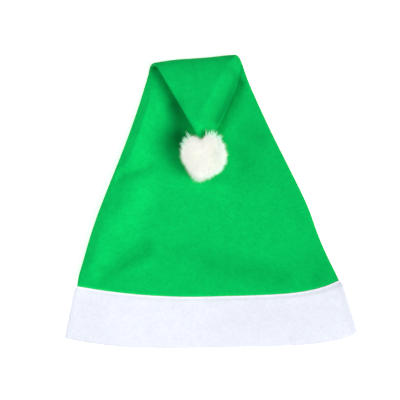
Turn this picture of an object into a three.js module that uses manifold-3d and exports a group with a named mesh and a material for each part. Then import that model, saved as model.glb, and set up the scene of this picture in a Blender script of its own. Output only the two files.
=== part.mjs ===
// A felt santa hat that lies on its back with its tip folded over its front: a hollow felt cone,
// a band of white felt round its mouth, and a pompom on the tip.
// Millimetres, +Z up. The origin is on the floor under the middle of the hat, +Y runs from the
// mouth towards the fold, and the front of the hat faces +Z.
import * as THREE from "three";
import { mergeVertices } from "three/addons/utils/BufferGeometryUtils.js";
import Module from "manifold-3d";

const wasm = await Module();
wasm.setup();

const { degToRad, lerp, clamp, smoothstep } = THREE.MathUtils;

// Felt and seams
const CROWN_FELT = 1.5;
const BAND_FELT = 1.8;
const SEAM_GAP = 0.3; // air between two pieces that are sewn or laid together
const FREE_EDGE = 3.6; // thickness of the flap's free edge: two layers of felt pressed together

// How far from a corner of a section its rounding starts
const LEFT_EASE = 4.2;
const RIGHT_EASE = 6;
const FLAP_EASE = 1.6; // at the free edge and the foot of the flap
const SHOULDER_EASE = 60; // cut down to what the section leaves

// The band: its top edge covers the crown's lower edge
const BAND_TOP = -83;
const BAND_HEM = -135;
const CROWN_EDGE = BAND_TOP - 8;
const LAP_STEPS = 2; // sections of both pieces between those two edges

// The fold: a roll of felt that turns the tip over the front
const FOLD_SKEW = 5.5; // turn of the roll in plan, in degrees
const FOLD_TURN = degToRad(170);
const FOLD_RADIUS = 11.5; // of the roll's outside
const FOLD_START = 131.8; // distance along the back where the roll begins
const FOLD_END = FOLD_START + FOLD_RADIUS * FOLD_TURN;
const FLAP_LENGTH = 78; // from the roll to the end of the tip
const FLAP_STEPS = 12;
const TIP = FOLD_END + FLAP_LENGTH;
const HOLLOW_END = TIP - 12; // the felt is gathered into a solid tip past this
const FLAP_SHOULDER = 0.36; // place of the underside's left shoulder between the free edge and the belly
const FLAP_BULGE = 0.7; // how far the shoulder hangs below the straight line between those two

// The band, from its hem to its top edge. along: distance along the back; skew: turn of the section
// in plan, in degrees; left, right: each side's end, thickness of its edge and width of the shoulder
// from there to the level front; loft: height of the front over the back; sag: how far the section bows
// towards the mouth between its ends.
const BAND_SECTIONS = [
  { along: BAND_HEM, skew: 1.2, left: [-147.0, 11.0, 50], right: [146.8, 16.4, 30], loft: 19.0, sag: 12.0 },
  { along: BAND_TOP, skew: 1.3, left: [-136.4, 11.6, 46], right: [129.6, 16.4, 28], loft: 18.4, sag: 14.6 },
].map(flatSection);

// Powers of the bow, from even halves at the fold to squarer ones at the hem.
const leftBow = (along) => 2 + smoothstep(-along, -BAND_TOP, -BAND_HEM);
const rightBow = (along) => 2 + 4.5 * smoothstep(-along, 0, -BAND_HEM);

// The crown where it lies flat, from just above the band to the start of the fold.
const CROWN_SECTIONS = [
  { along: -75, skew: 1.3, left: [-133.2, 8.6, 42], right: [124.6, 12.8, 26], loft: 16.0, sag: 13.4 },
  { along: -55, skew: 1.5, left: [-127.6, 9.4, 38], right: [114.7, 13.2, 24], loft: 14.6, sag: 12.0 },
  { along: -40, skew: 1.7, left: [-123.5, 10.0, 34], right: [108.2, 13.8, 22], loft: 15.6, sag: 10.8 },
  { along: -10, skew: 2.2, left: [-113.8, 10.8, 30], right: [97.0, 14.6, 20], loft: 16.8, sag: 8.5 },
  { along: 25, skew: 2.8, left: [-100.4, 10.6, 26], right: [80.2, 14.4, 18], loft: 15.6, sag: 6.0 },
  { along: 60, skew: 3.6, left: [-86.9, 9.6, 20], right: [62.7, 13.4, 16], loft: 13.4, sag: 3.6 },
  { along: 95, skew: 4.6, left: [-74.6, 8.0, 15], right: [46.5, 11.8, 14], loft: 10.8, sag: 1.4 },
  { along: 118, skew: 5.2, left: [-67.4, 6.4, 13], right: [36.9, 9.6, 12], loft: 8.8, sag: 0.4 },
  { along: FOLD_START, skew: FOLD_SKEW, left: [-63.3, 5.0, 12], right: [32.4, 7.4, 11], loft: 8, sag: 0 },
].map(flatSection);

// The crown through the fold and down the flap, whose back is uppermost. ridge: place of the crease that
// runs to the tip, and how far from it its rounding starts. As [across, depth below the top], left: the
// free edge; foot: the low edge of the slope beyond the ridge; belly: the lowest part of the underside.
const rolled = (degrees) => FOLD_START + FOLD_RADIUS * degToRad(degrees);
const FLAP_SECTIONS = [
  { along: rolled(45), left: [-61.0, 0.5], ridge: [30.0, 2], foot: [30.8, 5.8], belly: [8.0, 8.0] },
  { along: rolled(90), left: [-57.0, 1.2], ridge: [26.4, 2], foot: [29.8, 6.6], belly: [8.0, 8.2] },
  { along: rolled(135), left: [-54.2, 1.2], ridge: [23.6, 2], foot: [30.6, 9.4], belly: [10.0, 9.0] },
  { along: FOLD_END, left: [-51.3, 1.2], ridge: [19.0, 4], foot: [30.6, 12.4], belly: [14.0, 10.6] },
  { along: FOLD_END + 20, left: [-42.2, 1.6], ridge: [6.4, 8], foot: [24.8, 19.0], belly: [12.0, 16.4] },
  { along: FOLD_END + 40, left: [-33.1, 2.0], ridge: [-5.2, 8], foot: [13.8, 20.4], belly: [3.0, 17.2] },
  { along: FOLD_END + 50, left: [-28.6, 1.9], ridge: [-10.8, 8], foot: [7.8, 21.2], belly: [-2.0, 17.4] },
  { along: FOLD_END + 60, left: [-24.0, 1.6], ridge: [-15.4, 6], foot: [0.8, 21.8], belly: [-7.6, 17.0] },
  { along: FOLD_END + 70, left: [-19.8, 0.8], ridge: [-16.2, 3], foot: [-9.0, 9.5], belly: [-13.0, 8.4] },
  { along: TIP, left: [-18.2, 0.6], ridge: [-16.0, 2], foot: [-13.8, 4.2], belly: [-15.2, 5.0] },
].map(flapSection);

// Swellings and dents of the front where it lies flat: soft ridges along straight lines in plan.
// from, to: ends of the line; width: distance from it where about a third is left; height: at the line.
const FRONT_RELIEF = [
  // swollen left side, in two parts with a groove between them
  { from: [-66, 98], to: [-79, 48], width: 17, height: 6.0 },
  { from: [-76, 18], to: [-113, -55], width: 18, height: 5.0 },
  { from: [-92, 24], to: [-64, 36], width: 7, height: -4.0 },
  // valley from the lower left corner along the band
  { from: [-108, -73], to: [-66, -48], width: 9, height: -5.0 },
  { from: [-46, -48], to: [-6, -57], width: 12, height: -2.5 },
  { from: [12, -60], to: [100, -76], width: 12, height: -3.0 },
  // swollen right side, and the groove where the flap meets it
  { from: [44, 84], to: [98, -50], width: 26, height: 2.0 },
  { from: [26.6, 118], to: [3.6, 72], width: 8, height: -4.2 },
];
const RELIEF_START = 1; // distance in from a side edge where the relief starts to rise
const RELIEF_FULL = 10; // the same where it has its full height
const RELIEF_END = 18; // length before the fold over which it fades out

// The pompom: a round head set with locks, flattened where it rests on the crown
const POMPOM_PLACE = { x: -7, y: 42 };
const POMPOM_SEAT = 15.2; // height of the crown's front under it
const POMPOM_FLAT = 17; // from its middle down to the flattened underside
const POMPOM_RISE = 21.5; // from its middle up to its top
const SOCKET_STEPS = 6; // of the flap's steps, from where the tip runs clear of the pompom
const HEAD_SHARE = 0.74; // radius of the head against the reach of the locks
const HEAD_FACES = { around: 16, up: 10 };
const LOCK_COUNT = 70;
const LOCK = { length: 11, root: 5.4, tip: 2.3, sides: 5 };
// Outline of the pompom from above: reach of its locks by angle from +X, in degrees.
const POMPOM_OUTLINE = [
  { angle: -152, reach: 21.5 },
  { angle: -126, reach: 23.5 },
  { angle: -101, reach: 25.2 },
  { angle: -85, reach: 21.8 },
  { angle: -50, reach: 21.0 },
  { angle: -27, reach: 22.6 },
  { angle: 0, reach: 23.8 },
  { angle: 30, reach: 23.6 },
  { angle: 60, reach: 25.6 },
  { angle: 76, reach: 25.4 },
  { angle: 98, reach: 20.0 },
  { angle: 124, reach: 24.8 },
  { angle: 150, reach: 26.0 },
  { angle: 176, reach: 24.0 },
];

const FELT_GREEN = "rgb(3, 198, 95)";
const FELT_WHITE = "rgb(240, 243, 252)";
const FIBRE_WHITE = "rgb(246, 245, 237)";

// A section is a six-cornered outline in the plane across the hat, as pairs of [across, depth from the
// back]: back left, back right, front right, right shoulder, left shoulder and front left. Its span is
// the width over which it bows.
function flatSection({ along, skew, left, right, loft, sag }) {
  const [leftEnd, leftEdge, leftShoulder] = left;
  const [rightEnd, rightEdge, rightShoulder] = right;
  const corners = [
    [leftEnd, 0],
    [rightEnd, 0],
    [rightEnd, rightEdge],
    [rightEnd - rightShoulder, loft],
    [leftEnd + leftShoulder, loft],
    [leftEnd, leftEdge],
  ];
  const ease = [LEFT_EASE, RIGHT_EASE, RIGHT_EASE, SHOULDER_EASE, SHOULDER_EASE, LEFT_EASE];
  return { along, skew: degToRad(skew), sag, span: [leftEnd, rightEnd], ease, corners };
}

function flapSection({ along, left, ridge, foot, belly }) {
  const frontLeft = [left[0], left[1] + FREE_EDGE];
  const shoulder = [
    lerp(frontLeft[0], belly[0], FLAP_SHOULDER),
    lerp(frontLeft[1], belly[1], FLAP_SHOULDER) + FLAP_BULGE,
  ];
  const corners = [left, [ridge[0], 0], foot, belly, shoulder, frontLeft];
  const ease = [FLAP_EASE, ridge[1], FLAP_EASE, SHOULDER_EASE, SHOULDER_EASE, FLAP_EASE];
  return { along, skew: degToRad(FOLD_SKEW), sag: 0, span: [left[0], foot[0]], ease, corners };
}

// Smooth interpolation between the sections of a table, along -> section. No depth is under 0, which
// keeps the back on the floor.
function sectionsBetween(sections) {
  const columns = ({ skew, sag, span, ease, corners }) => [skew, sag, ...span, ...ease, ...corners.flat()];
  const knots = sections.map((section) => section.along);
  const width = columns(sections[0]).length;
  const spline = new THREE.CubicInterpolant(knots, sections.flatMap(columns), width);
  return (along) => {
    const [skew, sag, left, right, ...rest] = spline.evaluate(along);
    const ease = rest.slice(0, 6);
    const corners = ease.map((_, i) => [rest[6 + 2 * i], Math.max(rest[7 + 2 * i], 0)]);
    return { along, skew, sag, span: [left, right], ease, corners };
  };
}

// The outline with every side moved inwards by a distance, or outwards if it is negative.
function inset(section, distance) {
  const sides = section.corners.map(([s, n], i, all) => {
    const [s2, n2] = all[(i + 1) % all.length];
    const length = Math.hypot(s2 - s, n2 - n);
    const direction = [(s2 - s) / length, (n2 - n) / length];
    const start = [s - direction[1] * distance, n + direction[0] * distance];
    return { start, direction };
  });
  const corners = sides.map((side, i) => {
    const before = sides[(i + sides.length - 1) % sides.length];
    const gap = [side.start[0] - before.start[0], side.start[1] - before.start[1]];
    const cross = before.direction[0] * side.direction[1] - before.direction[1] * side.direction[0];
    const reach = (gap[0] * side.direction[1] - gap[1] * side.direction[0]) / cross;
    return [
      before.start[0] + before.direction[0] * reach,
      before.start[1] + before.direction[1] * reach,
    ];
  });
  return { ...section, corners };
}

// Points round a section's outline, with each corner eased by a short curve.
const CORNER_STEPS = [2, 2, 2, 11, 11, 2];
const SIDE_STEPS = [5, 2, 2, 2, 3, 2];
function outline(section) {
  const corners = section.corners.map(([s, n]) => new THREE.Vector2(s, n));
  const count = corners.length;
  const most = 0.45; // of a side that one corner's easing may take
  const eased = corners.map((corner, i) => {
    const before = corners[(i + count - 1) % count];
    const after = corners[(i + 1) % count];
    const trim = (other) => {
      const share = Math.min(most, section.ease[i] / corner.distanceTo(other));
      return corner.clone().lerp(other, share);
    };
    return new THREE.QuadraticBezierCurve(trim(before), corner, trim(after));
  });
  return eased.flatMap((curve, i) => {
    const next = eased[(i + 1) % count];
    const side = new THREE.LineCurve(curve.v2, next.v0);
    return [
      ...curve.getPoints(CORNER_STEPS[i]).slice(0, -1),
      ...side.getPoints(SIDE_STEPS[i]).slice(0, -1),
    ];
  });
}

// Points of an outline that lie on its front: from its third corner to the end of its last.
const sum = (numbers) => numbers.reduce((total, number) => total + number, 0);
const FRONT_FIRST = sum(CORNER_STEPS.slice(0, 2)) + sum(SIDE_STEPS.slice(0, 2));
const FRONT_LAST = sum(CORNER_STEPS) + sum(SIDE_STEPS.slice(0, -1)) - 1;

function reliefAt(place) {
  const heights = FRONT_RELIEF.map(({ from, to, width, height }) => {
    const line = new THREE.Line3(new THREE.Vector3(...from, place.z), new THREE.Vector3(...to, place.z));
    const nearest = line.closestPointToPoint(place, true, new THREE.Vector3());
    return height * Math.exp(-nearest.distanceToSquared(place) / width ** 2);
  });
  return sum(heights);
}

// A section's outline in space: flat on the floor, round the roll of the fold, or up the flap.
function loopAt(section) {
  const { along, skew, sag, span } = section;
  const turn = clamp((along - FOLD_START) / FOLD_RADIUS, 0, FOLD_TURN);
  const up = new THREE.Vector3(0, 0, 1);
  const across = new THREE.Vector3(Math.cos(skew), Math.sin(skew), 0);
  const forward = new THREE.Vector3().crossVectors(up, across);
  const onward = forward.clone().multiplyScalar(Math.cos(turn)).addScaledVector(up, Math.sin(turn));
  const front = up.clone().multiplyScalar(Math.cos(turn)).addScaledVector(forward, -Math.sin(turn));
  const origin = new THREE.Vector3(0, Math.min(along, FOLD_START), FOLD_RADIUS)
    .addScaledVector(front, -FOLD_RADIUS)
    .addScaledVector(onward, Math.max(along - FOLD_END, 0));
  const half = (span[1] - span[0]) / 2;
  const flat = smoothstep(FOLD_START - along, 0, RELIEF_END);
  return outline(section).map(({ x: s, y: n }, i) => {
    const offCentre = clamp((s - span[0]) / half - 1, -1, 1);
    const off = Math.abs(offCentre);
    const bow = offCentre < 0 ? leftBow(along) : rightBow(along);
    const place = origin
      .clone()
      .addScaledVector(across, s)
      .addScaledVector(front, n)
      .addScaledVector(onward, -sag * (1 - off ** bow));
    if (i < FRONT_FIRST || i > FRONT_LAST) return place;
    const inFromSide = half * (1 - off);
    const share = flat * smoothstep(inFromSide, RELIEF_START, RELIEF_FULL);
    return place.addScaledVector(front, share * reliefAt(place));
  });
}

// A closed mesh through loops of equal length. A ring of loops joins its last to its first, and
// otherwise both ends are closed.
function loft(loops, ring = false) {
  const size = loops[0].length;
  const positions = loops.flat().flatMap((point) => point.toArray());
  const indices = [];
  const last = ring ? loops.length : loops.length - 1;
  for (let row = 0; row < last; row++) {
    const next = (row + 1) % loops.length;
    for (let i = 0; i < size; i++) {
      const j = (i + 1) % size;
      const [a, b, c, d] = [row * size + i, row * size + j, next * size + j, next * size + i];
      indices.push(a, b, c, a, c, d);
    }
  }
  const close = (row, reverse) => {
    const middle = new THREE.Vector3();
    loops[row].forEach((point) => middle.addScaledVector(point, 1 / size));
    const centre = positions.length / 3;
    positions.push(...middle.toArray());
    for (let i = 0; i < size; i++) {
      const pair = [row * size + i, row * size + ((i + 1) % size)];
      indices.push(centre, ...(reverse ? pair.reverse() : pair));
    }
  };
  if (!ring) {
    close(0, true);
    close(loops.length - 1, false);
  }
  const geometry = new THREE.BufferGeometry();
  geometry.setAttribute("position", new THREE.Float32BufferAttribute(positions, 3));
  geometry.setIndex(indices);
  geometry.computeVertexNormals();
  return geometry;
}

// Evenly spaced distances from start towards end, without the end itself.
const spaced = (start, end, steps) =>
  Array.from({ length: steps }, (_, i) => lerp(start, end, i / steps));

const bandAt = sectionsBetween(BAND_SECTIONS);
const underBand = (along) => inset(bandAt(along), BAND_FELT + SEAM_GAP);
const crownAt = sectionsBetween([
  underBand(CROWN_EDGE),
  underBand((CROWN_EDGE + BAND_TOP) / 2),
  underBand(BAND_TOP),
  ...CROWN_SECTIONS,
  ...FLAP_SECTIONS,
]);

// Loops of a felt wall, out along its outside and back along its inside.
function wallLoops(sectionAt, felt, outside, inside = outside) {
  return [
    ...outside.map((along) => loopAt(sectionAt(along))).reverse(),
    ...inside.map((along) => loopAt(inset(sectionAt(along), felt))),
  ];
}

function crownGeometry() {
  const stations = [
    ...spaced(CROWN_EDGE, BAND_TOP, LAP_STEPS),
    ...spaced(BAND_TOP, FOLD_START, 15),
    ...spaced(FOLD_START, FOLD_END, 8),
    ...spaced(FOLD_END, TIP, FLAP_STEPS),
    TIP,
  ];
  const hollow = stations.filter((along) => along < HOLLOW_END);
  return loft(wallLoops(crownAt, CROWN_FELT, stations, hollow));
}

function bandGeometry() {
  const stations = [
    ...spaced(BAND_HEM, CROWN_EDGE, 2),
    ...spaced(CROWN_EDGE, BAND_TOP, LAP_STEPS),
    BAND_TOP,
  ];
  return loft(wallLoops(bandAt, BAND_FELT, stations), true);
}

// A closed geometry as a solid that can be joined and cut, and back.
function solidOf(geometry) {
  const bare = geometry.clone();
  bare.deleteAttribute("normal");
  bare.deleteAttribute("uv");
  const merged = mergeVertices(bare);
  return new wasm.Manifold(
    new wasm.Mesh({
      numProp: 3,
      vertProperties: merged.attributes.position.array,
      triVerts: new Uint32Array(merged.index.array),
    }),
  );
}

function geometryOf(solid) {
  const mesh = solid.getMesh();
  const geometry = new THREE.BufferGeometry();
  geometry.setAttribute("position", new THREE.BufferAttribute(mesh.vertProperties, 3));
  geometry.setIndex(new THREE.BufferAttribute(mesh.triVerts, 1));
  geometry.computeVertexNormals();
  return geometry;
}

// Reach of the pompom in a direction from its middle, for a lock whose end has this radius.
const pompomReach = (() => {
  const turns = [-360, 0, 360].flatMap((turn) =>
    POMPOM_OUTLINE.map(({ angle, reach }) => ({ angle: degToRad(angle + turn), reach })),
  );
  const spline = new THREE.CubicInterpolant(
    turns.map((row) => row.angle),
    turns.map((row) => row.reach),
    1,
  );
  return (direction, radius = 0) => {
    const wide = spline.evaluate(Math.atan2(direction.y, direction.x))[0];
    const level = Math.hypot(direction.x, direction.y);
    const round = 1 / Math.hypot(level / wide, direction.z / POMPOM_RISE);
    return direction.z < 0 ? Math.min(round, (POMPOM_FLAT - radius * level) / -direction.z) : round;
  };
})();

// Directions spread evenly over a sphere, on a spiral from the top to the bottom.
function spiral(count) {
  const goldenTurn = Math.PI * (3 - Math.sqrt(5));
  return Array.from({ length: count }, (_, i) => {
    const z = 1 - (2 * i + 1) / count;
    const level = Math.sqrt(1 - z * z);
    return new THREE.Vector3(level * Math.cos(i * goldenTurn), level * Math.sin(i * goldenTurn), z);
  });
}

function headGeometry() {
  const head = new THREE.SphereGeometry(1, HEAD_FACES.around, HEAD_FACES.up);
  const position = head.attributes.position;
  for (let i = 0; i < position.count; i++) {
    const direction = new THREE.Vector3().fromBufferAttribute(position, i);
    const point = direction.clone().multiplyScalar(HEAD_SHARE * pompomReach(direction));
    position.setXYZ(i, point.x, point.y, point.z);
  }
  return head;
}

function lockGeometry(direction) {
  const lock = new THREE.CylinderGeometry(LOCK.tip, LOCK.root, LOCK.length, LOCK.sides);
  const middle = pompomReach(direction, LOCK.tip) - LOCK.length / 2;
  const upright = new THREE.Vector3(0, 1, 0);
  lock.applyQuaternion(new THREE.Quaternion().setFromUnitVectors(upright, direction));
  return lock.translate(direction.x * middle, direction.y * middle, direction.z * middle);
}

function pompomGeometry() {
  const middle = POMPOM_SEAT + SEAM_GAP + POMPOM_FLAT;
  const place = [POMPOM_PLACE.x, POMPOM_PLACE.y, middle];
  const tuft = spiral(LOCK_COUNT)
    .map((direction) => solidOf(lockGeometry(direction)))
    .reduce((whole, lock) => whole.add(lock), solidOf(headGeometry()))
    .translate(place);
  const socketEnd = TIP + SEAM_GAP;
  const socketStart = TIP - (FLAP_LENGTH * SOCKET_STEPS) / FLAP_STEPS;
  const stations = [...spaced(socketStart, TIP, SOCKET_STEPS), TIP, socketEnd];
  const socket = stations.map((along) => {
    const section = inset(crownAt(Math.min(along, TIP)), -SEAM_GAP);
    return loopAt({ ...section, along });
  });
  return geometryOf(tuft.subtract(solidOf(loft(socket.reverse()))));
}

const felt = (color, roughness) => new THREE.MeshStandardMaterial({ color, roughness, metalness: 0 });

function piece(name, geometry, material) {
  const mesh = new THREE.Mesh(geometry, material);
  mesh.name = name;
  return mesh;
}

const hat = new THREE.Group();
hat.name = "santa_hat";
hat.add(
  piece("crown", crownGeometry(), felt(FELT_GREEN, 0.95)),
  piece("band", bandGeometry(), felt(FELT_WHITE, 0.95)),
  piece("pompom", pompomGeometry(), felt(FIBRE_WHITE, 1.0)),
);

export default hat;
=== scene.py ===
import bpy
import numpy as np
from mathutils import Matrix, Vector


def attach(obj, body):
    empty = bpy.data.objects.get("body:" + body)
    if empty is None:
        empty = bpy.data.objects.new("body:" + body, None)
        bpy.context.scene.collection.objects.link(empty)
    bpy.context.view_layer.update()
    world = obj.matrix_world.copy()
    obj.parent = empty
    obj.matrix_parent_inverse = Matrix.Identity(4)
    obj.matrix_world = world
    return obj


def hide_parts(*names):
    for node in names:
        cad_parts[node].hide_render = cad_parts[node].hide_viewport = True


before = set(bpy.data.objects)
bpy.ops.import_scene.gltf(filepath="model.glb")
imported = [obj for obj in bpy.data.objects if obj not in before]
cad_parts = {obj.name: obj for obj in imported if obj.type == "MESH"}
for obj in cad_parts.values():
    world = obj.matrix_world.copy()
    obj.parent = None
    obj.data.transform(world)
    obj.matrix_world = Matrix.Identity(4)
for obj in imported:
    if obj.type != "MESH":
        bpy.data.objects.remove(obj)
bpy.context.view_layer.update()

rng = np.random.default_rng(20)
MM = 0.001

# Thickness of the felt, and of the free left edge of the flap
CROWN_FELT = 1.5
BAND_FELT = 1.8
FREE_EDGE = 3.6

# The band: its ends, how far it laps over the crown, the gap under it, how far and over what length its
# top edge is pressed in, and the share and half width of the painted light along that edge, over the
# seam's shadow
BAND_TOP = -82.3
BAND_HEM = -135.0
SEAM_LAP = 8.0
SEAM_GAP = 0.3
BAND_PRESS = 1.4
PRESS_LENGTH = 6.0
SEAM_PAINTED_LIGHT = 0.25
SEAM_LINE = 1.6
CROWN_EDGE = BAND_TOP - SEAM_LAP

# Corners of a section, how far from one its rounding starts, and the most of a side that this takes
CORNERS = 6
LEFT_EASE = 4.2
RIGHT_EASE = 6.0
FLAP_EASE = 1.6
SHOULDER_EASE = 60.0
EASE_LIMIT = 0.45

# The fold: its skew in degrees, turn, radius, and where its roll starts and ends along the back. The
# flap after it: its length, its solid end, and the place and bulge of its shoulder
FOLD_SKEW = 5.5
FOLD_TURN = np.radians(170.0)
FOLD_RADIUS = 11.5
FOLD_START = 131.8
FOLD_END = FOLD_START + FOLD_RADIUS * FOLD_TURN
FLAP_LENGTH = 78.0
SOLID_TIP = 12.0
TIP = FOLD_END + FLAP_LENGTH
HOLLOW_END = TIP - SOLID_TIP
FLAP_SHOULDER = 0.36
FLAP_BULGE = 0.7

# Hollow of the flap's right side: depth, length of its fades, where it stops before the tip, and the
# factor that makes the peak of p * p * (1 - p) one
FLAP_FLARE = 2.2
FLARE_FADE = 14.0
FLARE_STOP = 6.0
FLARE_FACTOR = 27 / 4

# Lift of the left part of the fold: height, place and half width across, fade as a share of the roll
FOLD_LIFT = 1.4
FOLD_LIFT_PLACE = -36.0
FOLD_LIFT_WIDTH = 22.0
FOLD_LIFT_FADE = 0.4

# Power of the bow of a section towards the mouth, and what the hem adds to it on the left and right
BOW_POWER = 2.0
LEFT_BOW = 1.0
RIGHT_BOW = 4.5

# The relief of the front leaves a bare edge, and fades in from there and towards the fold
RELIEF_EDGE = 1.0
RELIEF_FADE = 9.0
RELIEF_FOLD_FADE = 18.0

# along, skew in degrees, left, right, thickness of the left and right edge, width of the left and
# right shoulder, loft, sag
BAND_ROWS = [
    (BAND_HEM, 1.2, -147.0, 146.8, 11.0, 16.4, 50.0, 30.0, 19.0, 12.0),
    (BAND_TOP, 1.5, -136.4, 130.2, 11.6, 16.4, 46.0, 28.0, 18.4, 14.0),
]
CROWN_ROWS = [
    (-75.0, 1.3, -133.2, 124.6, 8.6, 12.8, 42.0, 26.0, 16.0, 13.4),
    (-55.0, 1.5, -127.6, 114.7, 9.4, 13.2, 38.0, 24.0, 14.6, 12.0),
    (-40.0, 1.7, -123.5, 108.2, 10.0, 13.8, 34.0, 22.0, 15.6, 10.8),
    (-10.0, 2.2, -113.8, 97.0, 10.8, 14.6, 30.0, 20.0, 16.8, 8.5),
    (25.0, 2.8, -100.4, 80.2, 10.6, 14.4, 26.0, 18.0, 15.6, 6.0),
    (60.0, 3.6, -86.9, 62.7, 9.6, 13.4, 20.0, 16.0, 13.4, 3.6),
    (95.0, 4.6, -74.6, 46.5, 8.0, 11.8, 15.0, 14.0, 10.8, 1.4),
    (118.0, 5.2, -67.4, 36.9, 6.4, 9.6, 13.0, 12.0, 8.8, 0.4),
    (FOLD_START, FOLD_SKEW, -63.3, 32.4, 5.0, 7.4, 12.0, 11.0, 8.0, 0.0),
]
# turn in degrees, run, left edge (across, depth), ridge (across, ease), foot (across, depth),
# belly (across, depth)
FLAP_ROWS = [
    (45, 0, (-61.0, 0.5), (30.0, 2.0), (30.8, 5.8), (8.0, 8.0)),
    (90, 0, (-57.0, 1.2), (26.4, 2.0), (29.8, 6.6), (8.0, 8.2)),
    (135, 0, (-54.2, 1.2), (23.6, 2.0), (30.6, 9.4), (10.0, 9.0)),
    (170, 0, (-51.3, 1.2), (19.0, 4.0), (30.6, 12.8), (14.0, 10.6)),
    (170, 10, (-46.8, 1.4), (12.6, 6.4), (28.4, 17.2), (14.2, 13.7)),
    (170, 20, (-42.2, 1.6), (6.4, 8.0), (24.8, 20.7), (12.0, 16.4)),
    (170, 30, (-37.6, 1.8), (0.5, 8.0), (19.7, 21.2), (8.0, 17.0)),
    (170, 40, (-33.1, 2.0), (-5.2, 8.0), (13.8, 22.2), (3.0, 17.2)),
    (170, 50, (-28.6, 1.9), (-10.8, 8.0), (7.8, 23.2), (-2.0, 17.4)),
    (170, 60, (-24.0, 1.6), (-15.4, 6.0), (0.8, 23.5), (-7.6, 17.0)),
    (170, 70, (-19.8, 0.8), (-16.2, 3.0), (-9.0, 9.5), (-13.0, 8.4)),
    (170, 78, (-18.2, 0.6), (-16.0, 2.0), (-13.8, 4.2), (-15.2, 5.0)),
]


def smoothstep(x):
    x = np.clip(x, 0, 1)
    return x * x * (3 - 2 * x)


def flat_row(row):
    along, skew, left, right, left_edge, right_edge, left_shoulder, right_shoulder, loft, sag = row
    corners = [
        (left, 0), (right, 0), (right, right_edge),
        (right - right_shoulder, loft), (left + left_shoulder, loft), (left, left_edge),
    ]
    ease = [LEFT_EASE, RIGHT_EASE, RIGHT_EASE, SHOULDER_EASE, SHOULDER_EASE, LEFT_EASE]
    return along, [np.radians(skew), sag, left, right, *ease, *np.ravel(corners)]


def flap_row(row):
    turn, run, left, (ridge, ridge_ease), foot, belly = row
    front_left = np.array([left[0], left[1] + FREE_EDGE])
    shoulder = front_left + (np.array(belly) - front_left) * FLAP_SHOULDER + [0, FLAP_BULGE]
    corners = [left, (ridge, 0), foot, belly, shoulder, front_left]
    ease = [FLAP_EASE, ridge_ease, FLAP_EASE, SHOULDER_EASE, SHOULDER_EASE, FLAP_EASE]
    along = FOLD_START + FOLD_RADIUS * np.radians(turn) + run
    return along, [np.radians(FOLD_SKEW), 0, left[0], foot[0], *ease, *np.ravel(corners)]


def between(table):
    """Smooth interpolation between the rows of a table, as a function of the places along."""
    knots = np.array([along for along, _ in table])
    rows = np.array([row for _, row in table])
    slopes = np.diff(rows, axis=0) / np.diff(knots)[:, None]
    tangents = np.vstack([slopes[:1], (slopes[1:] + slopes[:-1]) / 2, slopes[-1:]])

    def rows_at(along):
        i = np.clip(np.searchsorted(knots, along, side="right") - 1, 0, len(knots) - 2)
        interval = (knots[i + 1] - knots[i])[:, None]
        p = (along - knots[i])[:, None] / interval
        value = (
            (2 * p**3 - 3 * p**2 + 1) * rows[i]
            + (p**3 - 2 * p**2 + p) * interval * tangents[i]
            + (3 * p**2 - 2 * p**3) * rows[i + 1]
            + (p**3 - p**2) * interval * tangents[i + 1]
        )
        skew, sag, span, ease, corners = np.split(value, [1, 2, 4, 4 + CORNERS], axis=1)
        corners = corners.reshape(-1, CORNERS, 2)
        corners[..., 1] = np.maximum(corners[..., 1], 0)
        return skew[:, 0], sag[:, 0], span, ease, corners

    return rows_at


def inset(corners, distance):
    """The outlines with every side moved inwards."""
    step = np.roll(corners, -1, axis=1) - corners
    direction = step / np.linalg.norm(step, axis=2, keepdims=True)
    normal = np.stack([-direction[..., 1], direction[..., 0]], axis=2)
    start = corners + normal * distance
    before = np.roll(start, 1, axis=1)
    before_direction = np.roll(direction, 1, axis=1)
    gap = start - before
    cross = before_direction[..., 0] * direction[..., 1] - before_direction[..., 1] * direction[..., 0]
    reach = (gap[..., 0] * direction[..., 1] - gap[..., 1] * direction[..., 0]) / cross
    return before + before_direction * reach[..., None]


# Points round each corner of an outline, and along the side after it
CORNER_STEPS = (6, 8, 8, 58, 58, 6)
SIDE_STEPS = (44, 12, 8, 8, 8, 3)


def outline(corners, ease, flare):
    """Points round each outline, with its corners eased by short curves and the right side flared."""
    before = np.roll(corners, 1, axis=1)
    after = np.roll(corners, -1, axis=1)

    def trim(other):
        length = np.linalg.norm(other - corners, axis=2)
        share = np.minimum(EASE_LIMIT, ease / length)
        return corners + (other - corners) * share[..., None]

    start, end = trim(before), trim(after)
    points = []
    for i in range(CORNERS):
        p = (np.arange(CORNER_STEPS[i]) / CORNER_STEPS[i])[None, :, None]
        a, b, c = (x[:, i][:, None] for x in (start, corners, end))
        points.append((1 - p) ** 2 * a + 2 * p * (1 - p) * b + p**2 * c)
        q = (np.arange(SIDE_STEPS[i]) / SIDE_STEPS[i])[None, :, None]
        points.append(c + (start[:, (i + 1) % CORNERS][:, None] - c) * q)
    chord = corners[:, 2] - corners[:, 1]
    length2 = (chord**2).sum(axis=1)[:, None]
    inward = np.stack([-chord[:, 1], chord[:, 0]], axis=1) / np.sqrt(length2)
    past_foot = np.arange(CORNER_STEPS[2]) / CORNER_STEPS[2]
    for side, share in ((2, 1.0), (3, 1.0), (4, (1 - past_foot) ** 2)):
        from_ridge = points[side] - corners[:, 1][:, None]
        p = np.clip((from_ridge * chord[:, None]).sum(axis=2) / length2, 0, 1)
        depth = share * FLARE_FACTOR * p**2 * (1 - p) * flare[:, None]
        points[side] = points[side] + depth[..., None] * inward[:, None]
    return np.concatenate(points, axis=1)


# First point of the front panel in an outline, and the one past its last.
FRONT = (sum(CORNER_STEPS[:2]) + sum(SIDE_STEPS[:2]), sum(CORNER_STEPS) + sum(SIDE_STEPS[:5]))


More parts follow.
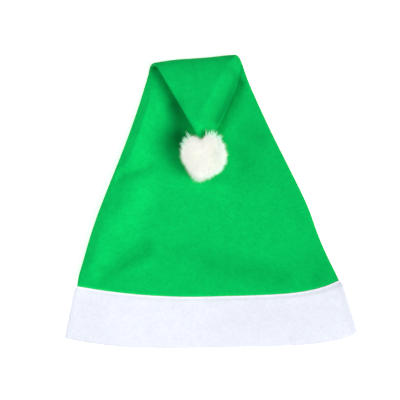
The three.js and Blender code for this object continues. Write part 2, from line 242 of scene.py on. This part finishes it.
def frames(along, skew):
    """Origin, across, onward and front of the sections: flat, round the roll, or up the flap."""
    turn = np.clip((along - FOLD_START) / FOLD_RADIUS, 0, FOLD_TURN)
    zero = np.zeros_like(along)
    up = np.stack([zero, zero, zero + 1], axis=1)
    across = np.stack([np.cos(skew), np.sin(skew), zero], axis=1)
    forward = np.cross(up, across)
    cos, sin = np.cos(turn)[:, None], np.sin(turn)[:, None]
    onward = forward * cos + up * sin
    front = up * cos - forward * sin
    origin = np.stack([zero, np.minimum(along, FOLD_START), zero + FOLD_RADIUS], axis=1)
    origin = origin - front * FOLD_RADIUS + onward * np.maximum(along - FOLD_END, 0)[:, None]
    return origin, across, onward, front


# Low relief of the front panel: soft ridges and valleys, as (from x, y, to x, y, half width, height).
FRONT_RELIEF = [
    # swollen left side, in two parts with a groove between them
    (-66, 98, -79, 48, 17, 6.0),
    (-76, 18, -113, -55, 18, 5.0),
    (-92, 24, -64, 36, 7, -4.0),
    # valley from the lower left corner along the band
    (-108, -73, -66, -48, 9, -5.0),
    (-46, -48, -6, -57, 12, -2.5),
    (12, -60, 100, -76, 12, -3.0),
    # swollen right side, and the groove where the flap meets it
    (44, 84, 98, -50, 26, 2.0),
    (26.6, 118, 3.6, 72, 8, -4.2),
]


# Painted light and shade of the felt, as rows of the same kind with a share: painted shade in creases,
# valleys and under the flap, painted light where it swells or faces the light.
FELT_PAINTED_SHADING = [
    # painted shadow beside the flap: its foot, the hollow under its free edge, and the felt round the
    # tip
    (27.5, 118, 7, 80, 5, -0.30),
    (34, 122, 14, 78, 9, -0.10),
    (22.2, 104, 5.4, 73, 2.2, -0.13),
    (20, 130, 26, 124, 4, -0.16),
    (31, 124, 24.4, 103, 3, 0.14),
    (24, 101, 9, 74, 3, 0.16),
    (17, 124, -2, 82, 7, -0.12),
    (-37, 93, -31, 58, 8, -0.42),
    (-56, 115, -67, 101, 6, 0.13),
    (32, 70, 48, 62, 10, -0.15),
    (18, 76, 22, 40, 9, 0.08),
    (-14, 76, -12, 68, 3.5, 0.22),
    (-9, 70, -6, 63, 3, 0.30),
    (-33, 64, -32, 50, 7, -0.14),
    (22, 28, 12, 15, 12, 0.16),
    # painted light on the swollen left side
    (-75, 95, -133, -80, 16, 0.07),
    (-97, 10, -120, -50, 5, 0.08),
    (-98, -25, -108, -55, 12, 0.10),
    (-54, 70, -54, 44, 12, 0.11),
    (-80, 58, -78, 44, 9, 0.10),
    (-64, 76, -69, 52, 11, 0.07),
    (-92, 18, -82, 20, 6, 0.07),
    (-88, -24, -94, -36, 9, -0.08),
    (-68, 8, -86, -28, 14, 0.14),
    # painted shade in the valley along the band
    (-102, -72, -67, -47, 7, -0.16),
    (-102, -78, -66, -66, 6, 0.10),
    (-42, -52, -8, -55, 9, -0.07),
    (0, -62, 70, -76, 12, -0.14),
    (88, -68, 102, -78, 9, -0.08),
    (104, -58, 112, -66, 12, -0.10),
    # painted shade on the crease of the right side, painted shade and light on the top of the fold
    (50, 92, 124, -76, 15, -0.10),
    (-60, 138, 30, 145, 15, -0.17),
    (-46, 140, 8, 144, 5, 0.15),
    # painted shade and highlights on faint creases of the flap
    (12, 122, -6, 90, 2.5, 0.06),
    (-19, 141, -14, 112, 1.6, -0.05),
    (-34, 124, -6, 131, 1.6, -0.04),
    (-24, 104, 2, 112, 1.8, 0.04),
    # painted light and shade on the ends and right half of the band
    (-147, -138, -137, -86, 3, 0.20),
    (147, -132, 130, -79, 5, -0.16),
    (20, -120, 140, -108, 22, -0.04),
]


def along_lines(rows, x, y):
    """Sum of soft ridges along straight lines, at points of the plan."""
    total = np.zeros_like(x)
    for x0, y0, x1, y1, width, height in rows:
        run = np.array([x1 - x0, y1 - y0], float)
        p = np.clip(((x - x0) * run[0] + (y - y0) * run[1]) / (run @ run), 0, 1)
        distance2 = (x - x0 - p * run[0]) ** 2 + (y - y0 - p * run[1]) ** 2
        total += height * np.exp(-distance2 / width**2)
    return total


def felt_painted_shading(points):
    """Share of its plain colour that the felt keeps at each point under the painted light and shade,
    with painted light along the seam.
    """
    x, y = points[:, 0], points[:, 1]
    seam = felt_loops(band_at, np.array([BAND_TOP]))[0, FRONT[0]:FRONT[1]]
    seam = seam[np.argsort(seam[:, 0])]
    off_seam = y - np.interp(x, seam[:, 0], seam[:, 1])
    return 1 + along_lines(FELT_PAINTED_SHADING, x, y) + SEAM_PAINTED_LIGHT * np.exp(-(off_seam / SEAM_LINE) ** 2)


def flap_flare(along):
    """How far the right side of the flap is hollowed towards its foot."""
    past_fold = smoothstep((along - FOLD_END) / FLARE_FADE)
    return FLAP_FLARE * past_fold * smoothstep((TIP - FLARE_STOP - along) / FLARE_FADE)


def fold_lift(along, s):
    """How far the left part of the fold stands proud of its roll."""
    turn = (along - FOLD_START) / (FOLD_END - FOLD_START)
    on_roll = smoothstep(turn / FOLD_LIFT_FADE) * smoothstep((1 - turn) / FOLD_LIFT_FADE)
    return FOLD_LIFT * np.exp(-((s - FOLD_LIFT_PLACE) / FOLD_LIFT_WIDTH) ** 2) * on_roll[:, None]


def left_bow(along):
    """Power of the bow towards the mouth, left of the middle."""
    return BOW_POWER + LEFT_BOW * smoothstep((BAND_TOP - along) / (BAND_TOP - BAND_HEM))


def right_bow(along):
    """Power of the bow towards the mouth, right of the middle."""
    return BOW_POWER + RIGHT_BOW * smoothstep(along / BAND_HEM)


def felt_loops(rows_at, along, felt=0.0):
    """Loops of points round the felt, on its outside or, moved in by the felt, on its inside."""
    skew, sag, span, ease, corners = rows_at(along)
    if np.any(felt):
        corners = inset(corners, felt)
    points = outline(corners, ease, flap_flare(along))
    origin, across, onward, front = frames(along, skew)
    s, n = points[..., 0], points[..., 1]
    half = (span[:, 1:] - span[:, :1]) / 2
    off_centre = np.clip((s - span[:, :1]) / half - 1, -1, 1)
    power = np.where(off_centre < 0, left_bow(along)[:, None], right_bow(along)[:, None])
    shift = -sag[:, None] * (1 - np.abs(off_centre) ** power)

    def place(depth):
        return (
            origin[:, None]
            + across[:, None] * s[..., None]
            + front[:, None] * depth[..., None]
            + onward[:, None] * shift[..., None]
        )

    n = n - fold_lift(along, s)
    flat = place(n)
    weight = np.zeros_like(n)
    inside = (half * (1 - np.abs(off_centre)))[:, FRONT[0]:FRONT[1]]
    weight[:, FRONT[0]:FRONT[1]] = smoothstep((inside - RELIEF_EDGE) / RELIEF_FADE)
    weight *= smoothstep((FOLD_START - along) / RELIEF_FOLD_FADE)[:, None]
    return place(n + weight * along_lines(FRONT_RELIEF, flat[..., 0], flat[..., 1]))


def loft(loops, ring=False):
    """Vertices and quads of a closed mesh through loops of equal length."""
    rows, size = loops.shape[:2]
    vertices = loops.reshape(-1, 3)
    i = np.arange(size)
    j = (i + 1) % size
    quads = []
    for row in range(rows if ring else rows - 1):
        a, b = row * size, (row + 1) % rows * size
        quads.append(np.stack([a + i, a + j, b + j, b + i], axis=1))
    faces = [tuple(q) for q in np.concatenate(quads).tolist()]
    if not ring:
        for row, flip in ((0, True), (rows - 1, False)):
            centre = len(vertices)
            vertices = np.vstack([vertices, loops[row].mean(axis=0)])
            pairs = zip(row * size + i, row * size + j)
            faces += [(centre, int(b), int(a)) if flip else (centre, int(a), int(b)) for a, b in pairs]
    return vertices, faces


def make_piece(name, vertices, faces, tones, material, node):
    """A smooth mesh in metres with painted light and shade at each vertex, in place of a node of the
    part.
    """
    mesh = bpy.data.meshes.new(name)
    mesh.from_pydata((np.asarray(vertices) * MM).tolist(), [], faces)
    mesh.validate()
    mesh.polygons.foreach_set("use_smooth", np.ones(len(mesh.polygons), bool))
    mesh.materials.append(material)
    painted_light_and_shade = mesh.attributes.new("painted_light_and_shade", "FLOAT", "POINT")
    painted_light_and_shade.data.foreach_set("value", tones)
    piece = bpy.data.objects.new(name, mesh)
    bpy.context.scene.collection.objects.link(piece)
    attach(piece, "root")
    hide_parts(node)
    return piece


# Materials
# Grain of the felt: scale, detail, roughness and distortion of its noises
CLOUDS = (85, 3.0, 0.6, 0.0)
MOTTLE = (330, 4.0, 0.65, 0.6)
FIBRES = (1.0, 3.0, 0.6, 0.8)
# How the fibres of the felt are laid: turn, and scale of their noise in each direction
FIBRE_LAYS = [
    (0.5, (260, 1500, 800)),
    (-0.7, (1500, 260, 800)),
    (1.3, (260, 1300, 800)),
]
BUMP_DISTANCE = 0.0009
# Grain of the pompom, and its colour and painted glow by the painted shading: green bounce, shade, plain
CLUMPS = (220, 3.0, 0.6, 0.0)
STRAND_GRAIN = (1400, 2.0, 0.5, 0.0)
PILE_SHADE = 0.76
PILE_PAINTED_COLORS = [(0.0, (0.03, 0.55, 0.33)), (0.6, (0.75, 0.765, 0.69)), (1.0, (0.94, 0.93, 0.865))]
PILE_PAINTED_GLOW = [(0.0, (0.05, 0.90, 0.56)), (0.6, (0.39, 0.41, 0.37)), (1.0, (0.45, 0.445, 0.415))]


def new_material(name):
    material = bpy.data.materials.new(name)
    material.use_nodes = True
    tree = material.node_tree
    return material, tree, tree.nodes["Principled BSDF"]


def set_inputs(node, values):
    for name, value in values.items():
        node.inputs[name].default_value = value


def add_node(tree, kind, **values):
    node = tree.nodes.new(kind)
    for name, value in values.items():
        if name in node.inputs:
            node.inputs[name].default_value = value
        else:
            setattr(node, name, value)
    return node


def noise(tree, coordinates, scale, detail, roughness, distortion):
    node = add_node(tree, "ShaderNodeTexNoise", Scale=scale, Detail=detail, Roughness=roughness)
    node.inputs["Distortion"].default_value = distortion
    tree.links.new(coordinates, node.inputs["Vector"])
    return node.outputs["Fac"]


def stretched(tree, coordinates, turn, scale):
    node = add_node(tree, "ShaderNodeMapping", Scale=scale, Rotation=(0, 0, turn))
    tree.links.new(coordinates, node.inputs["Vector"])
    return node.outputs["Vector"]


def math(tree, operation, a, b):
    node = add_node(tree, "ShaderNodeMath", operation=operation)
    for socket, value in zip(node.inputs, (a, b)):
        if isinstance(value, (int, float)):
            socket.default_value = value
        else:
            tree.links.new(value, socket)
    return node.outputs["Value"]


def weighted(tree, *shares):
    """Sum of outputs, each times its share."""
    parts = [math(tree, "MULTIPLY", output, share) for output, share in shares]
    total = parts[0]
    for part in parts[1:]:
        total = math(tree, "ADD", total, part)
    return total


def ramp(tree, factor, stops):
    node = add_node(tree, "ShaderNodeValToRGB")
    elements = node.color_ramp.elements
    while len(elements) < len(stops):
        elements.new(0.5)
    for element, (position, color) in zip(elements, stops):
        element.position = position
        element.color = (*color, 1)
    tree.links.new(factor, node.inputs["Fac"])
    return node.outputs["Color"]


def scaled(tree, color, factor):
    node = add_node(tree, "ShaderNodeVectorMath", operation="SCALE")
    tree.links.new(color, node.inputs[0])
    tree.links.new(factor, node.inputs["Scale"])
    return node.outputs["Vector"]


def vertex_painted_light_and_shade(tree):
    return add_node(tree, "ShaderNodeAttribute", attribute_name="painted_light_and_shade").outputs["Fac"]


def felt_material(name, stops, sheen_tint, sheen, specular, bump_strength):
    """Nonwoven felt: fibres laid every way, pressed into a cloudy matt sheet."""
    material, tree, shader = new_material(name)
    where = add_node(tree, "ShaderNodeTexCoord").outputs["Object"]
    clouds = noise(tree, where, *CLOUDS)
    mottle = noise(tree, where, *MOTTLE)
    fibres = [noise(tree, stretched(tree, where, *way), *FIBRES) for way in FIBRE_LAYS]
    lay = math(tree, "MAXIMUM", math(tree, "MAXIMUM", fibres[0], fibres[1]), fibres[2])
    shade = weighted(tree, (clouds, 0.2), (mottle, 0.45), (lay, 0.35))
    # base colour scaled by the painted light and shade at each vertex
    color = scaled(tree, ramp(tree, shade, stops), vertex_painted_light_and_shade(tree))
    tree.links.new(color, shader.inputs["Base Color"])
    height = weighted(tree, (lay, 0.6), (mottle, 0.7))
    bump = add_node(tree, "ShaderNodeBump", Strength=bump_strength, Distance=BUMP_DISTANCE)
    tree.links.new(height, bump.inputs["Height"])
    tree.links.new(bump.outputs["Normal"], shader.inputs["Normal"])
    set_inputs(shader, {
        "Roughness": 0.95,
        "Specular IOR Level": specular,
        "Sheen Weight": sheen,
        "Sheen Roughness": 0.5,
        "Sheen Tint": (*sheen_tint, 1),
    })
    return material


def fibre_material(name):
    """Off-white cut fibre that passes light on to its neighbours, with a painted glow for light
    scattered in the pile.
    """
    material, tree, shader = new_material(name)
    where = add_node(tree, "ShaderNodeTexCoord").outputs["Object"]
    clumps = noise(tree, where, *CLUMPS)
    strands = noise(tree, where, *STRAND_GRAIN)
    shade = weighted(tree, (clumps, 0.26), (strands, 0.06))
    painted_light_and_shade = vertex_painted_light_and_shade(tree)
    # painted colours: painted green bounce light, painted shade on the lit side, plain
    color = scaled(tree, ramp(tree, painted_light_and_shade, PILE_PAINTED_COLORS), math(tree, "ADD", shade, PILE_SHADE))
    tree.links.new(color, shader.inputs["Base Color"])
    # painted glow: the pile gives off light by its own emission, though it is no lamp
    tree.links.new(ramp(tree, painted_light_and_shade, PILE_PAINTED_GLOW), shader.inputs["Emission Color"])
    set_inputs(shader, {
        "Emission Strength": 0.5,
        "Subsurface Weight": 1.0,
        "Subsurface Radius": (1.0, 1.0, 0.95),
        "Subsurface Scale": 0.003,
        "Roughness": 0.8,
        "Specular IOR Level": 0.2,
        "Sheen Weight": 0.5,
        "Sheen Roughness": 0.4,
        "Sheen Tint": (0.9, 1.0, 0.96, 1),
    })
    return material


green_felt = felt_material(
    "green_felt",
    stops=[(0.36, (0.0009, 0.41, 0.080)), (0.66, (0.0013, 0.55, 0.109))],
    sheen_tint=(0.05, 0.9, 0.25),
    sheen=0.08,
    specular=0.02,
    bump_strength=0.35,
)
white_felt = felt_material(
    "white_felt",
    stops=[(0.36, (0.695, 0.722, 0.802)), (0.64, (0.808, 0.833, 0.904))],
    sheen_tint=(0.95, 0.97, 1.0),
    sheen=0.1,
    specular=0.1,
    bump_strength=0.4,
)
pompom_fibre = fibre_material("pompom_fibre")


# Crown and band, and the number of loops along their stretches
CROWN_LOOPS = 112
FOLD_LOOPS = 30
FLAP_LOOPS = 56
BAND_LOOPS = 32
PRESS_LOOPS = 10
band_at = between([flat_row(row) for row in BAND_ROWS])


def under_band(along):
    """Row of the crown where it lies under the band."""
    skew, sag, span, ease, corners = band_at(np.array([along]))
    corners = inset(corners, BAND_FELT + SEAM_GAP)
    return along, [skew[0], sag[0], *span[0], *ease[0], *np.ravel(corners)]


crown_at = between(
    [under_band(along) for along in (CROWN_EDGE, (CROWN_EDGE + BAND_TOP) / 2, BAND_TOP)]
    + [flat_row(row) for row in CROWN_ROWS]
    + [flap_row(row) for row in FLAP_ROWS]
)


def make_crown():
    outside = np.concatenate([
        np.linspace(CROWN_EDGE, FOLD_START, CROWN_LOOPS, endpoint=False),
        np.linspace(FOLD_START, FOLD_END, FOLD_LOOPS, endpoint=False),
        np.linspace(FOLD_END, TIP, FLAP_LOOPS),
    ])
    inside = np.concatenate([[CROWN_EDGE], outside[1::2]])
    inside = inside[inside < HOLLOW_END]
    loops = np.concatenate([
        felt_loops(crown_at, outside)[::-1],
        felt_loops(crown_at, inside, CROWN_FELT),
    ])
    vertices, faces = loft(loops)
    return make_piece("crown_felt", vertices, faces, felt_painted_shading(vertices), green_felt, "crown")


def make_band():
    press_start = BAND_TOP - PRESS_LENGTH
    along = np.concatenate([
        np.linspace(BAND_HEM, press_start, BAND_LOOPS, endpoint=False),
        np.linspace(press_start, BAND_TOP, PRESS_LOOPS),
    ])
    pressed = BAND_PRESS * smoothstep((along - BAND_TOP + PRESS_LENGTH) / PRESS_LENGTH)
    loops = np.concatenate([
        felt_loops(band_at, along, pressed[:, None, None])[::-1],
        felt_loops(band_at, along, BAND_FELT),
    ])
    vertices, faces = loft(loops, ring=True)
    return make_piece("band_felt", vertices, faces, felt_painted_shading(vertices), white_felt, "band")


# Pompom: its middle, the flat under it, its rise and squareness from the side, and the reach of its
# fibres by angle from +X, in degrees, seen from above
POMPOM_MIDDLE = np.array([-7.0, 42.0, 32.5])
POMPOM_FLAT = 17.0
POMPOM_RISE = 20.0
POMPOM_SQUARE = 2.6
POMPOM_OUTLINE = [
    (-160, 21.2), (-145, 20.8), (-123, 22.8), (-111, 25.0), (-99, 24.4), (-91, 22.4), (-80, 21.4),
    (-60, 20.2), (-38, 21.2), (-10, 22.4), (7, 23.2), (30, 24.0), (48, 25.0), (63, 25.8), (77, 25.6),
    (88, 22.0), (99, 19.4), (106, 22.0), (118, 24.8), (132, 25.8), (146, 26.0), (162, 25.0), (178, 23.2),
]
# How clear of the flap's tip the fibres stay, and the shares of a ray that are tried for it
TIP_CLEARANCE = 0.5
RAY_SHARES = np.linspace(0.05, 1.0, 40)
# Tufts, and the packed body that dips between them: its share of the reach, its points around and up,
# and its share of the tint
TUFTS = 210
TUFT_JITTER = 0.05
TUFT_LENGTH = (0.94, 1.05)
TUFT_DIP = 4
CORE_SHARE = 0.84
CORE_AROUND = 120
CORE_UP = 72
# share of the painted green bounce light that the packed body takes
CORE_PAINTED_BOUNCE = 0.5
# Painted shade where the light from the right is strongest, painted green bounce light from the felt
# below
LIT_PAINTED_SHADE = 0.42
LIT_START = 0.05
LIT_FADE = 0.7
RIM_PAINTED_BOUNCE = 0.58
RIM_TOP = 0.46
RIM_FADE = 0.5
ROOT_PAINTED_BOUNCE = 0.2
# Locks and fibres: count, start and shortest and longest end as shares of the reach, radius, rings,
# lean, bow
STRANDS = [
    (2600, 0.72, 0.88, 1.00, 0.62, 3, 0.08, 1.2),
    (12000, 0.76, 0.90, 1.08, 0.16, 2, 0.12, 1.6),
]
# Sides of a strand, jitter of its direction, share of the way that it gathers to its tuft, taper, least
# length, and the power that makes the long ones few
STRAND_SIDES = 3
STRAND_JITTER = 0.02
STRAND_GATHER = 0.6
STRAND_TAPER = 0.6
STRAND_SHORTEST = 0.3
LENGTH_POWER = 1.6
# Long wisps of the pompom: azimuth and elevation in degrees, reach
WISPS = [
    (125, 14, 31.4), (136, 12, 29.6), (144, 8, 29.4), (150, 5, 28.0),
    (82, 14, 28.4), (76, 18, 29.4), (70, 14, 30.4), (64, 10, 29.8), (57, 9, 29.0), (51, 8, 27.8),
    (-101, 2, 25.2), (-113, 2, 25.8), (-15, 5, 23.8), (-28, 4, 23.4),
    (-40, 2, 23.2), (-52, 5, 22.6), (-64, 2, 22.6), (-76, 4, 23.4), (-152, 2, 22.0),
]
# Fibres of a wisp: count, spread, share of painted green bounce light, start as a share of the pompom's
# reach, ends as shares of the wisp's own reach, radius, rings, bow
WISP_FIBRES = 11
WISP_SPREAD = 0.05
WISP_PAINTED_BOUNCE = 0.8
WISP_START = 0.8
WISP_LENGTH = (0.84, 1.04)
WISP_RADIUS = 0.36
WISP_RINGS = 3
WISP_BOW = 1.0


def unit(v):
    return v / np.linalg.norm(v, axis=-1, keepdims=True)


def spiral(count):
    """Directions spread evenly over a ball."""
    i = np.arange(count)
    z = 1 - (2 * i + 1) / count
    level = np.sqrt(1 - z * z)
    turn = i * np.pi * (3 - np.sqrt(5))
    return np.stack([level * np.cos(turn), level * np.sin(turn), z], axis=1)


def pompom_reach(direction):
    """How far the fibres reach from the middle of the pompom in each direction."""
    turns = np.array(POMPOM_OUTLINE, float)
    angle = np.degrees(np.arctan2(direction[:, 1], direction[:, 0]))
    wide = np.interp(angle, turns[:, 0], turns[:, 1], period=360)
    level = np.hypot(direction[:, 0], direction[:, 1])
    rise = np.abs(direction[:, 2]) / POMPOM_RISE
    reach = ((level / wide) ** POMPOM_SQUARE + rise**POMPOM_SQUARE) ** (-1 / POMPOM_SQUARE)
    below = np.minimum(reach, POMPOM_FLAT / np.maximum(-direction[:, 2], 1e-6))
    return np.where(direction[:, 2] < 0, below, reach)


def short_of_tip(direction, reach):
    """Reach of rays from the middle of the pompom, cut where they would run into the tip of the flap."""
    points = POMPOM_MIDDLE + direction[:, None] * (reach[:, None] * RAY_SHARES)[..., None]
    at_fold = frames(np.array([FOLD_END]), np.radians([FOLD_SKEW]))
    origin, across, onward, front = (v[0] for v in at_fold)
    from_fold = points - origin
    run, s, n = from_fold @ onward, from_fold @ across, from_fold @ front
    *_, corners = crown_at(np.clip(FOLD_END + run.ravel(), FOLD_END, TIP))
    corners = inset(corners, -TIP_CLEARANCE)
    step = np.roll(corners, -1, axis=1) - corners
    to_s, to_n = s.reshape(-1, 1) - corners[..., 0], n.reshape(-1, 1) - corners[..., 1]
    in_section = (step[..., 0] * to_n - step[..., 1] * to_s > 0).all(axis=1).reshape(run.shape)
    hit = in_section & (run < FLAP_LENGTH + TIP_CLEARANCE)
    last_clear = np.maximum(hit.argmax(axis=1) - 1, 0)
    return reach * np.where(hit.any(axis=1), RAY_SHARES[last_clear], 1.0)


def rim_painted_bounce(direction):
    """How much painted green bounce light from the felt below the fibres of a direction get."""
    return RIM_PAINTED_BOUNCE * smoothstep((RIM_TOP - direction[:, 2]) / RIM_FADE)


def lit_share(direction):
    """How far a direction points to the right, where the fibres lie in the brightest light."""
    return smoothstep((direction[:, 0] - LIT_START) / LIT_FADE)


def nearest_tuft(tufts, direction):
    """The tuft that is nearest to each direction, and how far off it is on a ball of radius 1."""
    close = direction @ tufts.T
    return np.argmax(close, axis=1), np.sqrt(np.maximum(2 - 2 * close.max(axis=1), 0))


def packed_core(tufts, tuft_length):
    """The packed fibres, as one tufted body."""
    theta = np.pi * (np.arange(1, CORE_UP) / CORE_UP)
    phi = 2 * np.pi * np.arange(CORE_AROUND) / CORE_AROUND
    ball = np.stack([
        np.sin(theta)[:, None] * np.cos(phi),
        np.sin(theta)[:, None] * np.sin(phi),
        np.cos(theta)[:, None] * np.ones(CORE_AROUND),
    ], axis=2).reshape(-1, 3)
    nearest, apart = nearest_tuft(tufts, ball)
    radius = pompom_reach(ball) * CORE_SHARE * tuft_length[nearest] * (1 - TUFT_DIP * apart**2)
    radius = short_of_tip(ball, radius)
    vertices, faces = loft((ball * radius[:, None]).reshape(CORE_UP - 1, CORE_AROUND, 3)[::-1])
    outward = unit(vertices)
    # painted shade on the lit right side, painted green bounce light towards the bottom
    tones = 1 - np.maximum(CORE_PAINTED_BOUNCE * rim_painted_bounce(outward), LIT_PAINTED_SHADE * lit_share(outward))
    return vertices, faces, tones


def make_strands(direction, lean, start, end, root_radius, rings, bow_by, tint):
    """Tapered strands that stand out of the packed fibres, each bent from its root towards its lean."""
    count, sides = len(direction), STRAND_SIDES
    lit = LIT_PAINTED_SHADE * lit_share(direction)
    end = np.maximum(short_of_tip(lean, end), start + STRAND_SHORTEST)
    curl = unit(np.cross(lean, rng.normal(0, 1, (count, 3))))
    bow = rng.normal(0, bow_by, count)
    side_a = unit(np.cross(lean, curl))
    side_b = np.cross(lean, side_a)
    points = np.zeros((count, rings * sides + 1, 3))
    tones = np.zeros((count, rings * sides + 1))
    for k in range(rings + 1):
        p = k / rings
        heading = unit(direction * (1 - p) + lean * p)
        centre = heading * (start + (end - start) * p)[:, None] + curl * (bow * p * p)[:, None]
        # painted shade on the lit right side, painted green bounce light towards the bottom and rim
        tones[:, k * sides:] = (1 - np.maximum(min(1.0, ROOT_PAINTED_BOUNCE + p) * tint, lit))[:, None]
        if k == rings:
            points[:, -1] = centre
            break
        radius = root_radius * (1 - STRAND_TAPER * p * p)
        for c in range(sides):
            turn = 2 * np.pi * c / sides
            points[:, k * sides + c] = centre + radius * (np.cos(turn) * side_a + np.sin(turn) * side_b)
    points[..., 2] = np.maximum(points[..., 2], -POMPOM_FLAT)
    triangles = [(0, 2, 1)]
    for k in range(rings - 1):
        for c in range(sides):
            a, b = k * sides + c, k * sides + (c + 1) % sides
            triangles += [(a, b, b + sides), (a, b + sides, a + sides)]
    top = (rings - 1) * sides
    triangles += [(top + c, top + (c + 1) % sides, rings * sides) for c in range(sides)]
    offsets = np.arange(count) * points.shape[1]
    faces = (np.array(triangles)[None] + offsets[:, None, None]).reshape(-1, 3)
    return points.reshape(-1, 3), faces, tones.ravel()


def tufted_strands(tufts, tuft_length, row):
    """Locks or fibres all over the pompom, leaning together in tufts."""
    count, first, shortest, longest, root_radius, rings, lean_by, bow_by = row
    direction = unit(spiral(count) + rng.normal(0, STRAND_JITTER, (count, 3)))
    nearest, _ = nearest_tuft(tufts, direction)
    gathered = direction + STRAND_GATHER * (tufts[nearest] - direction)
    lean = unit(gathered + rng.normal(0, lean_by, (count, 3)))
    start = short_of_tip(direction, first * pompom_reach(direction))
    share = shortest + (longest - shortest) * rng.uniform(0, 1, count) ** LENGTH_POWER
    end = pompom_reach(lean) * tuft_length[nearest] * share
    return make_strands(direction, lean, start, end, root_radius, rings, bow_by, rim_painted_bounce(direction))


def wisp_strands(azimuth, elevation, reach):
    """A thin bundle of long fibres."""
    turn, rise = np.radians(azimuth), np.radians(elevation)
    wisp = np.array([np.cos(rise) * np.cos(turn), np.cos(rise) * np.sin(turn), np.sin(rise)])
    direction = unit(wisp + rng.normal(0, WISP_SPREAD, (WISP_FIBRES, 3)))
    lean = unit(wisp + rng.normal(0, WISP_SPREAD, (WISP_FIBRES, 3)))
    start = short_of_tip(direction, WISP_START * pompom_reach(direction))
    end = reach * rng.uniform(*WISP_LENGTH, WISP_FIBRES)
    tint = np.full(WISP_FIBRES, WISP_PAINTED_BOUNCE)
    return make_strands(direction, lean, start, end, WISP_RADIUS, WISP_RINGS, WISP_BOW, tint)


def make_pompom():
    tufts = unit(spiral(TUFTS) + rng.normal(0, TUFT_JITTER, (TUFTS, 3)))
    tuft_length = rng.uniform(*TUFT_LENGTH, TUFTS)
    parts = [packed_core(tufts, tuft_length)]
    parts += [tufted_strands(tufts, tuft_length, row) for row in STRANDS]
    parts += [wisp_strands(*row) for row in WISPS]
    vertices, faces, tones = [], [], []
    for part_vertices, part_faces, part_tones in parts:
        offset = len(vertices)
        vertices += (part_vertices + POMPOM_MIDDLE).tolist()
        faces += [tuple(int(i) + offset for i in face) for face in part_faces]
        tones += part_tones.tolist()
    make_piece("pompom_pile", vertices, faces, tones, pompom_fibre, "pompom")


crown = make_crown()
band = make_band()
make_pompom()


# Floor, light and camera, in metres. The camera looks straight down, and the picture is PICTURE_WIDTH
# across at PICTURE_LEVEL.
FLOOR_HALF = 6.0
FLOOR_LEVEL = -0.0003
WORLD_LIGHT = 0.06
PICTURE_WIDTH = 0.4
PICTURE_LEVEL = 0.012
CAMERA_X = -0.011
SENSOR_WIDTH = 36
LENS = 180


def make_floor():
    half, z = FLOOR_HALF, FLOOR_LEVEL
    corners = [(-half, -half, z), (half, -half, z), (half, half, z), (-half, half, z)]
    mesh = bpy.data.meshes.new("floor")
    mesh.from_pydata(corners, [], [(0, 1, 2, 3)])
    material, _, shader = new_material("floor")
    set_inputs(shader, {
        "Base Color": (0.9, 0.9, 0.9, 1),
        "Roughness": 0.9,
        "Specular IOR Level": 0.0,
        "Emission Color": (1, 1, 1, 1),
        "Emission Strength": 0.55,
    })
    mesh.materials.append(material)
    floor = bpy.data.objects.new("floor", mesh)
    bpy.context.scene.collection.objects.link(floor)


def add_light(name, place, size, energy):
    """A round soft light that faces the origin of the part."""
    data = bpy.data.lights.new(name, "AREA")
    data.shape = "DISK"
    data.size = size
    data.energy = energy
    light = bpy.data.objects.new(name, data)
    light.location = place
    light.rotation_euler = (-Vector(place)).to_track_quat("-Z", "Y").to_euler()
    bpy.context.scene.collection.objects.link(light)


def set_world():
    world = bpy.data.worlds.new("studio")
    world.use_nodes = True
    set_inputs(world.node_tree.nodes["Background"], {"Color": (1, 1, 1, 1), "Strength": WORLD_LIGHT})
    bpy.context.scene.world = world
    bpy.context.scene.view_settings.view_transform = "Standard"


def add_camera():
    data = bpy.data.cameras.new("camera")
    data.sensor_width = SENSOR_WIDTH
    data.lens = LENS
    camera = bpy.data.objects.new("camera", data)
    camera.location = (CAMERA_X, 0, PICTURE_LEVEL + PICTURE_WIDTH * LENS / SENSOR_WIDTH)
    bpy.context.scene.collection.objects.link(camera)
    bpy.context.scene.camera = camera


make_floor()
add_light("key", place=(3.54, -1.43, 3.96), size=3.3, energy=365)
add_light("fill", place=(-1.0, 0.3, 0.84), size=0.8, energy=9.5)
set_world()
add_camera()
